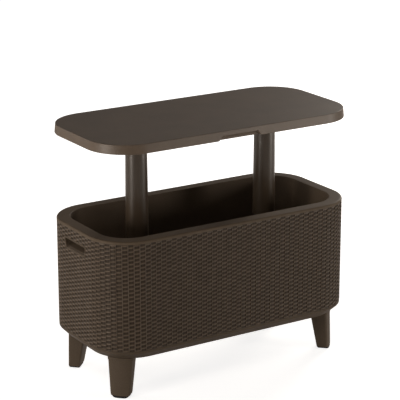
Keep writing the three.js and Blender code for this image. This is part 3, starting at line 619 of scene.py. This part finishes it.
def make_cup(name, sign):
    """Rings along the tub: the hollow from its back out to the mouth, and back in round the
    outside of the cup."""
    chamber = wall_rear - 2 * pocket_skin
    mouth = wall_face - mouth_depth
    step = chamber + pocket_step
    behind = wall_rear - pocket_skin
    rings = [
        slot_ring(pocket_back, pocket_floor(pocket_back), pocket_top),
        slot_ring(chamber, pocket_floor(chamber), pocket_top),
        slot_ring(chamber, pocket_floor(chamber), slot_high + pocket_step),
        slot_ring(step, pocket_floor(step), slot_high),
        slot_ring(mouth, slot_low, slot_high),
        slot_ring(mouth, slot_low, slot_high, pocket_skin),
        slot_ring(behind, pocket_floor(behind), slot_high, pocket_skin),
        slot_ring(behind, pocket_floor(behind), pocket_top, pocket_skin),
        slot_ring(pocket_back - pocket_skin, pocket_floor(pocket_back), pocket_top, pocket_skin),
    ]
    return loft(name, facing(rings, sign))


def make_frame(name, sign):
    """The frame round the mouth: its section, rounded on its two outer edges, taken round the
    slot's outline."""
    section = softened([
        (wall_face - frame_root, 0), (frame_crest, 0, frame_edge),
        (frame_crest, frame_width, frame_edge), (wall_face - frame_root, frame_width)])
    rings = [slot_ring(across, slot_low, slot_high, by) for across, by in section]
    return loft(name, facing(rings, sign), joined=True)


# The frames, the foot and the legs are a plain satin. The cups are the same resin painted a shade
# darker: painted shade for the inside of the slot.
satin_polypropylene = moulded_resin("satin_polypropylene", "615447", "564a3d", 0.55, 0.25)
cup_shaded_polypropylene = moulded_resin("cup_shaded_polypropylene", "584b3e", "4c4034", 0.55, 0.3)
for slot_side, slot_sign in (("left", -1), ("right", 1)):
    opening = loft("slot_cutter", facing([
        slot_ring(across, slot_low, slot_high, pocket_skin + cut_gap)
        for across in (pocket_back, frame_crest + cut_reach)], slot_sign))
    carve(walls[f"wall_{slot_side}"], opening)
    cup = make_cup(f"hand_pocket_{slot_side}", slot_sign)
    settle(cup, "tub", "resin", cup_shaded_polypropylene)
    slot_frame = make_frame(f"hand_frame_{slot_side}", slot_sign)
    settle(slot_frame, "tub", "resin", satin_polypropylene)
for wall in walls.values():
    settle(wall, "tub", "woven_resin", woven_polypropylene)


# Tub foot: the plain lower end of the wall's moulding. A ridge runs below the weave, and then the
# chamfer comes in to the base and to the floor that carries the legs and the drain.
base_shape = np.array([789, 355.5, 115]) * mm
base_height = 120 * mm
ridge_foot = 142 * mm
ridge_top = 147 * mm
ridge_inset = 0.7 * mm
ridge_step = 0.6 * mm
ridge_edge = 1 * mm
foot_edge = 2.4 * mm
foot_flat = 10 * mm
chamfer_shares = (0.04, 0.1, 0.3, 0.5, 0.7, 0.9, 0.97)


def make_tub_foot():
    """Rings from the drain hole out under the floor, up the chamfer, over the ridge and back in
    along the top of the floor. The chamfer's rings are blends of the base's and the ridge's."""
    ridge = rounded_ring(grown(tub_shape, -ridge_inset), ridge_foot)
    base = rounded_ring(base_shape, base_height)
    inner = grown(tub_shape, -wall_inset - resin_wall)
    chamfer = [base + share * (ridge - base) for share in chamfer_shares]
    rings = [
        round_hole(drain_hole, base_height),
        rounded_ring(grown(base_shape, -foot_flat), base_height),
        rounded_ring(grown(base_shape, -foot_edge), base_height),
        rounded_ring(grown(base_shape, -foot_edge / 3), base_height + foot_edge / 7),
        *chamfer,
    ]
    ledge = softened([
        (-ridge_inset, ridge_foot + ridge_step), (-ridge_inset, ridge_top, ridge_edge),
        (-wall_inset - resin_wall, ridge_top)])
    rings += rings_along(tub_shape, ledge)
    rings += [
        rounded_ring(inner, ridge_foot),
        rounded_ring(grown(base_shape, -resin_wall), base_height + resin_wall),
        round_hole(drain_hole, base_height + resin_wall),
    ]
    return loft("tub_foot", rings, joined=True)


settle(make_tub_foot(), "tub", "resin", satin_polypropylene, "tub_shell")


# Legs: a tapered resin moulding under each corner of the base, held by a screw up through it. Its
# outer face follows the corner's curve, a collar runs round its top and its toe is rounded in to
# a black rubber pad.
leg_top = base_height - part_gap
leg_width_top = 71 * mm
leg_width_floor = 56.1 * mm
leg_depth_top = 54 * mm
leg_depth_floor = 34.6 * mm
leg_inset = 1.5 * mm
leg_splay = 3.5 * mm
leg_edge = 8 * mm
leg_heel = 5 * mm
toe_radius = 12 * mm
collar_height = 9 * mm
collar_proud = 1.5 * mm
collar_lead = 0.8 * mm
collar_inside = 3 * mm
pad_height = 7 * mm
pad_inset = 0.7 * mm
pad_sole_inset = 4 * mm
pad_head_inset = 5 * mm
toe_lowest = 0.3 * mm
arc_steps = 8
face_steps = 12
leg_corners = {"back_right": (1, 1, 0.5), "back_left": (-1, 1, 1.5),
               "front_left": (-1, -1, 2.5), "front_right": (1, -1, 3.5)}


def quarter_arc(x, y, radius, quarter):
    """A quarter of a circle about a point: the centre plus radius times (cos, sin), from a whole
    number of quarter turns on."""
    turn = np.linspace(0, math.pi / 2, arc_steps + 1) + quarter * math.pi / 2
    return np.array([x, y]) + radius * np.stack([np.cos(turn), np.sin(turn)], 1)


def leg_ring(height, by=0.0):
    """A leg's section at a height, grown: straight sides, a flat back, and a face on a circle about
    the base corner's centre. Below the toe's radius the sides come in along a quarter circle."""
    share = height / leg_top
    toe = 0.0
    if height < toe_radius:
        toe = toe_radius - math.sqrt(toe_radius ** 2 - (toe_radius - height) ** 2)
    half = (leg_width_floor + (leg_width_top - leg_width_floor) * share) / 2 - toe + by
    outer = base_shape[2] - leg_inset + leg_splay * (1 - share)
    back = outer - leg_depth_floor - (leg_depth_top - leg_depth_floor) * share - by
    face = outer + by
    edge = leg_edge + by
    heel = leg_heel + by
    side = half - edge
    crest = math.sqrt(face ** 2 - side ** 2)
    swing = np.linspace(-side, side, face_steps + 2)[1:-1]
    outline = np.concatenate([
        quarter_arc(back + heel, heel - half, heel, 2),
        quarter_arc(crest - edge, -side, edge, 3),
        np.stack([np.sqrt(face ** 2 - swing ** 2), swing], 1),
        quarter_arc(crest - edge, side, edge, 0),
        quarter_arc(back + heel, half - heel, heel, 1),
    ])
    return level_ring(outline, height)


def stand_at_corner(rings, corner):
    """Turns a leg's rings to face out of one corner of the base and moves them there."""
    side_x, side_y, quarter = corner
    turn = quarter * math.pi / 2
    across = [math.cos(turn), math.sin(turn), 0]
    along = [-math.sin(turn), math.cos(turn), 0]
    spin = np.array([across, along, [0, 0, 1]])
    length, width, radius = base_shape
    centre = np.array([side_x * (length / 2 - radius), side_y * (width / 2 - radius), 0])
    return [ring @ spin + centre for ring in rings]


def black_rubber_finish(name):
    """Moulded rubber: near black, dull, with a fine tooth that scatters the little it reflects."""
    made, tree = new_finish(name)
    place = add_node(tree, "ShaderNodeTexCoord").outputs["Object"]
    tooth_size = 1.6 * mm
    tooth_relief = 0.08 * mm
    tooth = add_node(tree, "ShaderNodeTexNoise", {
        "Vector": place, "Scale": 1 / tooth_size, "Detail": 4.0, "Roughness": 0.6})
    tone = add_node(tree, "ShaderNodeMix", {
        0: tooth.outputs["Fac"], 6: linear("100f0e"), 7: linear("1d1b19")}, data_type="RGBA")
    bump = add_node(tree, "ShaderNodeBump", {
        "Height": tooth.outputs["Fac"], "Distance": tooth_relief, "Strength": bump_strength})
    skin = add_node(tree, "ShaderNodeBsdfPrincipled", {
        "Base Color": tone.outputs[2], "Roughness": 0.8, "IOR": 1.5, "Normal": bump.outputs[0]})
    add_node(tree, "ShaderNodeOutputMaterial", {"Surface": skin.outputs[0]})
    return made


black_rubber = black_rubber_finish("black_rubber")
collar_foot = leg_top - collar_height
leg_levels = np.concatenate([
    np.linspace(pad_height, toe_radius, 6),
    np.linspace(toe_radius, collar_foot - collar_lead, 8)[1:]])
collar_line = softened([
    (0, collar_foot - collar_lead), (0, collar_foot, 0.5 * mm),
    (collar_proud, collar_foot, 0.7 * mm), (collar_proud, leg_top, 0.8 * mm),
    (-collar_inside, leg_top)])
pad_line = softened([
    (-pad_sole_inset, 0), (-pad_inset, 0, 1.2 * mm),
    (-pad_inset, pad_height - part_gap, 0.4 * mm), (-pad_head_inset, pad_height - part_gap)])
for corner_name, corner in leg_corners.items():
    leg_rings = [leg_ring(height) for height in leg_levels]
    leg_rings += [leg_ring(height, by) for by, height in collar_line[1:]]
    leg = loft(f"leg_{corner_name}_moulding", stand_at_corner(leg_rings, corner))
    settle(leg, "tub", "resin", satin_polypropylene, f"leg_{corner_name}")
    pad_rings = [leg_ring(max(height, toe_lowest), by) for by, height in pad_line]
    for ring, (by, height) in zip(pad_rings, pad_line):
        ring[:, 2] = height
    pad = loft(f"foot_pad_{corner_name}_moulding", stand_at_corner(pad_rings, corner))
    settle(pad, "tub", "rubber", black_rubber, f"foot_pad_{corner_name}")


# Guide posts: a moulded tube for each column to slide on, its foot screwed down on a rubber
# gasket, with a sprung button through its front that the raised column stands on.
post_reach = 216 * mm
gasket_height = basin_floor + part_gap
gasket_thick = 2 * mm
gasket_top = gasket_height + gasket_thick
post_foot = gasket_top + part_gap
post_flange = 5 * mm
post_top = 470 * mm
post_radius = 21 * mm
post_bore = 18 * mm
post_flange_radius = 46 * mm
screw_circle = 39.5 * mm
screws_per_post = 3
screw_shank = 1.9 * mm
screw_head = 4 * mm
screw_crown = 2.8 * mm
screw_length = 30 * mm
button_height = 398.7 * mm
button_radius = 6 * mm
button_tip = 4.5 * mm
button_middle = 2 * mm
button_flange = 8 * mm
button_flange_front = -15.8 * mm
button_flange_back = -12.8 * mm
button_hole_reach = 30 * mm
spring_radius = 5 * mm
spring_wire = 0.8 * mm
spring_turns = 5
spring_front = -12.5 * mm
spring_back = 5.7 * mm
coil_steps = 24
wire_sides = 8
button_sides = 48
screw_sides = 40
sides = {"left": -post_reach, "right": post_reach}


def turned(name, profile, joined=True, centre=(0, 0), count=96):
    """A line of (radius, height) points turned about an upright axis through a centre."""
    spokes = unit_circle(count)
    rings = [level_ring(np.array(centre) + radius * spokes, height) for radius, height in profile]
    return loft(name, rings, joined)


def turned_along_y(name, profile, x, height):
    """A line of (radius, y) points turned about a level axis from front to back."""
    spokes = np.insert(unit_circle(button_sides), 1, 0, axis=1)
    rings = [np.array([x, y, height]) + radius * spokes for radius, y in profile]
    return loft(name, rings)


def make_spring(name, x):
    """A round wire carried round a helix about the button's axis. Each section is a circle in the
    plane of the axis and the radius: the radius swings by the wire's cosine, the place along the
    axis by its sine."""
    share = np.linspace(0, 1, spring_turns * coil_steps + 1)[:, None]
    turn = 2 * math.pi * spring_turns * share
    bend = np.linspace(0, 2 * math.pi, wire_sides, endpoint=False)[None]
    radius = spring_radius + spring_wire * np.cos(bend)
    start = spring_front + spring_wire
    along = start + (spring_back - spring_wire - start) * share + spring_wire * np.sin(bend)
    rings = np.stack([x + radius * np.cos(turn), along, button_height + radius * np.sin(turn)], -1)
    return loft(name, rings)


def brushed_steel(name, colour):
    """Plain stainless steel, scuffed by handling: a metal with faint streaks in its roughness."""
    made, tree = new_finish(name)
    place = add_node(tree, "ShaderNodeTexCoord").outputs["Object"]
    streak_size = 2.5 * mm
    streak = add_node(tree, "ShaderNodeTexNoise", {
        "Vector": place, "Scale": 1 / streak_size, "Detail": 4.0, "Roughness": 0.6})
    gloss = add_node(tree, "ShaderNodeMapRange", {
        "Value": streak.outputs["Fac"], "From Min": 0.3, "From Max": 0.7,
        "To Min": 0.25, "To Max": 0.4})
    skin = add_node(tree, "ShaderNodeBsdfPrincipled", {
        "Base Color": linear(colour), "Metallic": 1.0, "Roughness": gloss.outputs[0]})
    add_node(tree, "ShaderNodeOutputMaterial", {"Surface": skin.outputs[0]})
    return made


def dress(material, *nodes):
    """Gives a material to solids of the frame that are shown as they are."""
    for node in nodes:
        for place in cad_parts[node].material_slots:
            place.material = material


def pan_screw(name, tip, shank, head, height, length):
    """A pan head screw standing on its tip, with a cross recess cut in its head. Its profile is
    a line up the shank and over the head, turned; the recess is two crossed bars."""
    crown = length + height
    profile = softened([
        (0.4 * shank, 0), (shank, 1.2 * shank, 0.3 * shank), (shank, length),
        (head, length, 0.1 * head), (head, length + height * 0.4, 0.1 * head),
        (head * 0.72, crown, 0.2 * head), (head * 0.3, crown)])
    screw = turned(name, profile, joined=False, count=screw_sides)
    arm = head * 0.55
    blade = head * 0.13
    deep = height * 0.55
    for half_x, half_y in ((arm, blade), (blade, arm)):
        corners = np.array([
            (half_x, half_y), (-half_x, half_y), (-half_x, -half_y), (half_x, -half_y)])
        carve(screw, loft("recess", [
            level_ring(corners, level) for level in (crown - deep, crown + deep)]))
    screw.data.transform(Matrix.Translation(tip))
    return screw


def ring_places(radius, x, count):
    """Places spaced evenly round a circle, from the one at the back."""
    angle = (0.25 + np.arange(count) / count) * 2 * math.pi
    return [(x + radius * math.cos(turn), radius * math.sin(turn)) for turn in angle]


# The inner parts are painted nearly black: painted shade, so that they stay dark in the basin.
# The buttons' acetal is darker and smoother, and the steel shows as small bright points.
inner_shaded_polypropylene = moulded_resin("inner_shaded_polypropylene", "362d25", "2d261f", 0.5)
button_acetal = moulded_resin("button_acetal", "24211e", "1f1c1a", 0.45)
stainless_steel = brushed_steel("stainless_steel", "b9bbbd")
hole_radius = button_radius + part_gap
button_front = -post_radius - button_tip
tip_height = post_foot + post_flange + part_gap - screw_length
for side, x in sides.items():
    gasket = turned(f"post_gasket_{side}_ring", softened([
        (post_bore, gasket_height), (post_flange_radius, gasket_height, 0.5 * mm),
        (post_flange_radius, gasket_top, 0.5 * mm), (post_bore, gasket_top)],
        closed=True), centre=(x, 0))
    settle(gasket, "tub", "rubber", black_rubber, f"post_gasket_{side}")
    post = turned(f"guide_post_{side}_tube", softened([
        (post_bore, post_foot), (post_flange_radius, post_foot, 0.4 * mm),
        (post_flange_radius, post_foot + post_flange, 1.4 * mm),
        (post_radius, post_foot + post_flange, 4 * mm),
        (post_radius, post_top, 0.5 * mm), (post_bore, post_top)], closed=True), centre=(x, 0))
    carve(post, turned_along_y(
        "button_hole", [(hole_radius, -button_hole_reach), (hole_radius, 0)], x, button_height))
    settle(post, "tub", "inner_resin", inner_shaded_polypropylene, f"guide_post_{side}")
    button = turned_along_y(f"latch_button_{side}_moulding", softened([
        (button_middle, button_front), (button_radius, button_front, 1.6 * mm),
        (button_radius, button_flange_front), (button_flange, button_flange_front),
        (button_flange, button_flange_back), (button_middle, button_flange_back)]),
        x, button_height)
    settle(button, f"latch_{side}", "button_resin", button_acetal, f"latch_button_{side}")
    for i, (screw_x, screw_y) in enumerate(ring_places(screw_circle, x, screws_per_post), 1):
        screw = pan_screw(f"post_screw_{side}_{i}_head", (screw_x, screw_y, tip_height),
                          screw_shank, screw_head, screw_crown, screw_length)
        settle(screw, "tub", "steel", stainless_steel, f"post_screw_{side}_{i}")
    spring = settle(make_spring(f"latch_spring_{side}_coil", x), "tub", "steel",
                    stainless_steel, f"latch_spring_{side}")
    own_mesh(spring)
    dress(inner_shaded_polypropylene, f"post_cap_{side}", f"latch_housing_{side}")
    dress(stainless_steel, f"housing_pin_{side}",
          *(f"column_screw_{side}_{i}" for i in (1, 2, 3)))
dress(stainless_steel, *(f"leg_screw_{corner_name}" for corner_name in leg_corners))


# Drain: a moulded spout through the middle of the floor, its flange on a rubber gasket, clamped
# by a nut below and closed by a screwed cap with a grip bar.
spout_bore = 8 * mm
spout_radius = 12 * mm
spout_end = 100 * mm
spout_flange_radius = 23 * mm
spout_flange = 4 * mm
nut_reach = 19 * mm
nut_height = 8 * mm
nut_edge_run = 2 * mm
nut_sides = 6
nut_bore_top = 130 * mm
cap_radius = 16 * mm
cap_floor = 93.4 * mm
cap_inside = cap_floor + 4 * mm
cap_rim = 108 * mm
cap_centre = 4 * mm
grip_foot = 87.4 * mm
grip_half_length = 13 * mm
grip_half_width = 2 * mm
grip_edge = 1.8 * mm
drain_gasket_radius = 22 * mm

drain_gasket = turned("drain_gasket_ring", softened([
    (drain_hole, gasket_height), (drain_gasket_radius, gasket_height, 0.5 * mm),
    (drain_gasket_radius, gasket_top, 0.5 * mm), (drain_hole, gasket_top)], closed=True))
settle(drain_gasket, "tub", "rubber", black_rubber, "drain_gasket")
drain_spout = turned("drain_spout_moulding", softened([
    (spout_bore, spout_end), (spout_radius, spout_end, 0.6 * mm), (spout_radius, post_foot),
    (spout_flange_radius, post_foot, 0.6 * mm),
    (spout_flange_radius, post_foot + spout_flange, 2.2 * mm),
    (spout_bore, post_foot + spout_flange, 1.6 * mm)], closed=True))
settle(drain_spout, "tub", "inner_resin", inner_shaded_polypropylene, "drain_spout")
nut_line = softened([
    (nut_reach - nut_edge_run, leg_top - nut_height), (nut_reach, leg_top - nut_height, 0.8 * mm),
    (nut_reach, leg_top, 0.3 * mm), (nut_reach - nut_edge_run, leg_top)])
drain_nut = turned("drain_nut_moulding", nut_line, joined=False, count=nut_sides)
carve(drain_nut, turned(
    "nut_bore", [(drain_hole, spout_end), (drain_hole, nut_bore_top)], joined=False))
settle(drain_nut, "tub", "inner_resin", inner_shaded_polypropylene, "drain_nut")
drain_cap = turned("drain_cap_moulding", softened([
    (cap_centre, cap_floor), (cap_radius, cap_floor, 1.2 * mm), (cap_radius, cap_rim, 0.8 * mm),
    (drain_hole, cap_rim, 0.5 * mm), (drain_hole, cap_inside), (cap_centre, cap_inside)]),
    joined=False)
grip_corners = softened([
    (x * grip_half_length, y * grip_half_width, grip_edge)
    for x, y in ((1, 1), (-1, 1), (-1, -1), (1, -1))], closed=True)
grip_levels = ((0.97, grip_foot), (1, grip_foot + 0.5 * mm), (1, cap_floor + 2 * mm))
grip = loft("grip_bar", [
    level_ring(grip_corners * share, height) for share, height in grip_levels])
carve(drain_cap, grip, operation="UNION")
settle(drain_cap, "drain_cap", "inner_resin", inner_shaded_polypropylene, "drain_cap")
dress(black_rubber, "drain_washer")


# Tabletop deck: a flat top moulded in polypropylene, with rounded corners and a deep side band
# that flares a little downwards, and a finger recess in the band's lower edge, front and back.
deck_shape = np.array([822, 394.6, 117.6]) * mm
deck_top = 736 * mm
band_foot = 709.4 * mm
band_flare = 2.5 * mm
deck_edge = 1.9 * mm
deck_run = 12 * mm
deck_plate = 4 * mm
skirt_wall = 3.2 * mm
pull_half_top = 59 * mm
pull_half_low = 70 * mm
pull_height = 14 * mm
pull_depth = 12 * mm
pull_wall = 3 * mm
pull_block_half = 76 * mm
block_setback = 1.5 * mm
block_lift = 0.02 * mm
tool_reach = 3 * mm
tool_below = 4 * mm
band_face = deck_shape[1] / 2 + band_flare


def pull_tool(sign):
    """The recess's hollow: a quarter ellipse from the band's face in to its depth, closed below
    and in front. It is drawn at both ends, which slope out towards the band's lower edge."""
    turn = np.linspace(0, math.pi / 2, 13)
    slope = (pull_half_low - pull_half_top) / pull_height
    front = band_face + tool_reach
    foot = band_foot - tool_below
    depth = band_face - pull_depth * np.cos(turn)
    rise = band_foot + pull_height * np.sin(turn)
    section = np.array([
        (front, foot), (band_face - pull_depth, foot), *zip(depth, rise),
        (front, band_foot + pull_height)])
    half = pull_half_low - slope * (section[:, 1] - band_foot)
    return loft("pull_cutter", [
        np.column_stack([end * half, sign * section[:, 0], section[:, 1]]) for end in (-1, 1)])


def make_deck():
    """Rings from the deck's underside down the inside of the skirt, out under the band, up its
    flared face and over the edge to the top, joined to the two recess blocks and cut by them."""
    line = softened([
        (-skirt_wall, deck_top - deck_plate), (-skirt_wall, band_foot, 0.8 * mm),
        (band_flare, band_foot, 1.7 * mm), (0, deck_top, deck_edge), (-deck_run, deck_top)], steps=8)
    deck = loft("tabletop_deck_moulding", rings_along(deck_shape, line))
    block_inner = band_face - pull_depth - pull_wall
    block_outer = deck_shape[1] / 2 - block_setback
    block_levels = (band_foot + block_lift, band_foot + pull_height + pull_wall)
    for sign in (-1, 1):
        near, far = sorted([sign * block_inner, sign * block_outer])
        corners = np.array([(-pull_block_half, near), (pull_block_half, near),
                            (pull_block_half, far), (-pull_block_half, far)])
        block = loft("recess_block", [level_ring(corners, height) for height in block_levels])
        carve(deck, block, operation="UNION")
        carve(deck, pull_tool(sign))
    return deck


# The broad flat deck is a little shinier than the tub, which lays a soft gradient over it. Its
# colour is painted a little paler than the tub's: painted light for the brightly lit band.
deck_lit_polypropylene = moulded_resin("deck_lit_polypropylene", "695847", "5c4d3e", 0.5, 0.75)
settle(make_deck(), "tabletop", "resin", deck_lit_polypropylene, "tabletop_deck")
dress(inner_shaded_polypropylene, "tabletop_panel")
for panel_side in ("left", "middle", "right"):
    for panel_end in ("front", "back"):
        dress(stainless_steel, f"panel_screw_{panel_side}_{panel_end}")


# Columns: tapered polypropylene tubes, wider towards the foot, screwed up under the deck by a
# flange, each with a dark guide bush in its foot.
column_foot = 408 * mm
column_foot_radius = 33 * mm
column_top_radius = 30.35 * mm
column_wall = 3.5 * mm
column_flange = 4 * mm
column_flange_foot = 720.7 * mm
column_flange_radius = 50 * mm
bush_foot = 405 * mm
bush_lip = 2.7 * mm
bush_bore = 21.3 * mm
bush_relief = 26.1 * mm
bush_edge = 0.8 * mm
bush_land_foot = 15 * mm
bush_land_top = 14 * mm
bush_ramp = 4.8 * mm
column_edge = 1.2 * mm
column_sides = 128


def bush_face(height):
    """The bush's outer radius: the column's inner wall at a height, less a gap."""
    share = (height - column_foot) / (band_foot - column_foot)
    taper = column_foot_radius - column_top_radius
    return column_foot_radius - column_wall - part_gap - taper * share


# Handled more than the rest, the columns are smoother: a sharper, narrower highlight down each.
column_polypropylene = moulded_resin(
    "column_polypropylene", "4b3f33", "463b2f", 0.32, 0.65, relief=0.008 * mm)
column_head = column_flange_foot + column_flange
relief_foot = bush_foot + bush_land_foot + bush_ramp
relief_top = post_top - bush_land_top - bush_ramp
for side, x in sides.items():
    column = turned(f"column_{side}_tube", softened([
        (column_foot_radius - column_wall, column_foot),
        (column_foot_radius, column_foot, column_edge),
        (column_top_radius, band_foot), (column_top_radius, column_flange_foot),
        (column_flange_radius, column_flange_foot), (column_flange_radius, column_head),
        (column_top_radius - column_wall, column_head),
        (column_top_radius - column_wall, band_foot)],
        closed=True), centre=(x, 0), count=column_sides)
    settle(column, "tabletop", "resin", column_polypropylene, f"column_{side}")
    bush = turned(f"column_bush_{side}_moulding", softened([
        (bush_bore, bush_foot, bush_edge), (column_foot_radius, bush_foot, bush_edge),
        (column_foot_radius, bush_foot + bush_lip), (bush_face(column_foot), bush_foot + bush_lip),
        (bush_face(post_top), post_top), (bush_bore, post_top), (bush_bore, relief_top + bush_ramp),
        (bush_relief, relief_top), (bush_relief, relief_foot), (bush_bore, relief_foot - bush_ramp)],
        closed=True), centre=(x, 0), count=column_sides)
    settle(bush, "tabletop", "inner_resin", inner_shaded_polypropylene, f"column_bush_{side}")

bpy.context.scene.view_settings.view_transform = "Standard"
